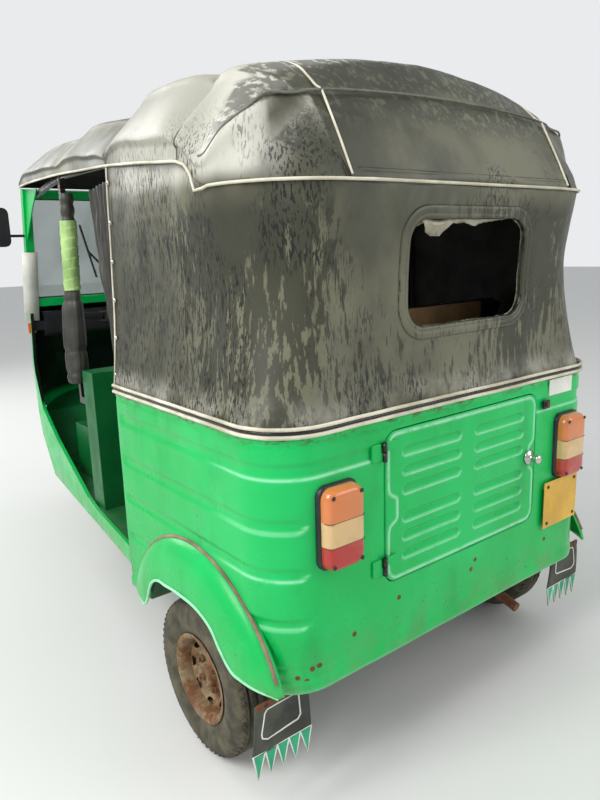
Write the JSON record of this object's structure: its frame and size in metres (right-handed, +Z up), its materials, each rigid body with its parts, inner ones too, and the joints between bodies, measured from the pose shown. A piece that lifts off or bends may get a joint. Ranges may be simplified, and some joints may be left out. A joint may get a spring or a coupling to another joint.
{
  "type": "three-wheeled auto rickshaw with a soft hood",
  "caption": "Three-wheeled auto rickshaw: green steel tub with a louvred engine door, black puffed vinyl hood with a torn-out rear window, steered front wheel and driven rear wheels.",
  "frame": {"origin": "on the ground, under the middle of the vehicle's bounding box", "axes": "+Z up, the front faces -Y, +X is the vehicle's left; wheel axles lie along X"},
  "size_m": [1.3, 2.6249, 1.71],
  "materials": {
    "body_paint": "weathered gloss green enamel",
    "inner_paint": "duller green enamel, dusty",
    "chassis_paint": "black chassis paint with surface rust",
    "screen_glass": "clear, slightly dusty",
    "lamp_glass": "clear moulded glass",
    "black_plastic": "satin moulded black",
    "lamp_plastic": "amber, clear and red moulded lens",
    "chrome_trim": "dulled chrome",
    "black_steel": "black enamel, worn",
    "rusty_steel": "rusty steel",
    "rusty_rim": "old paint browned by rust and mud",
    "engine_alloy": "oily cast alloy",
    "seat_vinyl": "black sewn vinyl",
    "hood_vinyl": "weathered black vinyl cloth",
    "curtain_vinyl": "rolled black vinyl",
    "pale_trim": "cream extruded beading",
    "yellow_plate": "yellow reflective plate, blank",
    "flap_rubber": "dark grey rubber",
    "grip_rubber": "black rubber",
    "tyre_rubber": "dusty tyre rubber"
  },
  "bodies": {
    "root": {"floor_pan": "inner_paint", "chassis_frame": "chassis_paint", "sills": "body_paint", "front_cowl": "body_paint", "front_bulkhead": "inner_paint", "windscreen_frame": "body_paint", "windscreen": "screen_glass", "dashboard": "black_plastic", "front_lamp_bodies": "black_plastic", "front_lamp_lenses": "lamp_glass", "wiper": "black_steel", "mirrors": "black_plastic", "partition": "body_paint", "driver_seat_base": "inner_paint", "driver_seat": "seat_vinyl", "driver_backrest": "seat_vinyl", "bench_base": "inner_paint", "engine_cover": "inner_paint", "passenger_seat": "seat_vinyl", "passenger_backrest": "seat_vinyl", "rear_tub": "body_paint", "wheel_houses": "inner_paint", "wings": "body_paint", "tail_lamp_bases": "black_plastic", "tail_lamp_lenses": "lamp_plastic", "number_plate": "yellow_plate", "mud_flaps": "flap_rubber", "trim_beading": "pale_trim", "hood_skirt": "hood_vinyl", "hood_roof": "hood_vinyl", "hood_frame": "black_steel", "curtain_rolls": "curtain_vinyl", "trailing_arms": "black_steel", "rear_shocks": "black_steel", "engine": "engine_alloy", "drive_shafts": "black_steel", "silencer": "rusty_steel"},
    "steering": {"steering_column": "black_steel", "handlebar": "black_steel", "grips": "grip_rubber", "front_fork": "black_steel", "front_mudguard": "body_paint"},
    "front_wheel": {"front_tyre": "tyre_rubber", "front_rim": "rusty_rim"},
    "rear_wheel_left": {"rear_tyre_left": "tyre_rubber", "rear_rim_left": "rusty_rim"},
    "rear_wheel_right": {"rear_tyre_right": "tyre_rubber", "rear_rim_right": "rusty_rim"},
    "engine_lid": {"engine_door": "body_paint", "door_handle": "chrome_trim"}
  },
  "joints": [
    {"name": "steer", "type": "hinge", "parent": "root", "child": "steering", "pos_m": [0, -0.73463, 0.8], "axis": [0, 0.4695, 0.8829], "range_deg": [-38, 38]},
    {"name": "front_roll", "type": "hinge", "parent": "steering", "child": "front_wheel", "pos_m": [0, -1.08, 0.2075], "axis": [1, 0, 0], "continuous": true},
    {"name": "rear_roll_left", "type": "hinge", "parent": "root", "child": "rear_wheel_left", "pos_m": [0.575, 0.92, 0.2075], "axis": [1, 0, 0], "continuous": true},
    {"name": "rear_roll_right", "type": "hinge", "parent": "root", "child": "rear_wheel_right", "pos_m": [-0.575, 0.92, 0.2075], "axis": [1, 0, 0], "continuous": true},
    {"name": "engine_lid_swing", "type": "hinge", "parent": "root", "child": "engine_lid", "pos_m": [0.305, 1.28, 0.7], "axis": [0, 0, -1], "range_deg": [0, 105]}
  ]
}
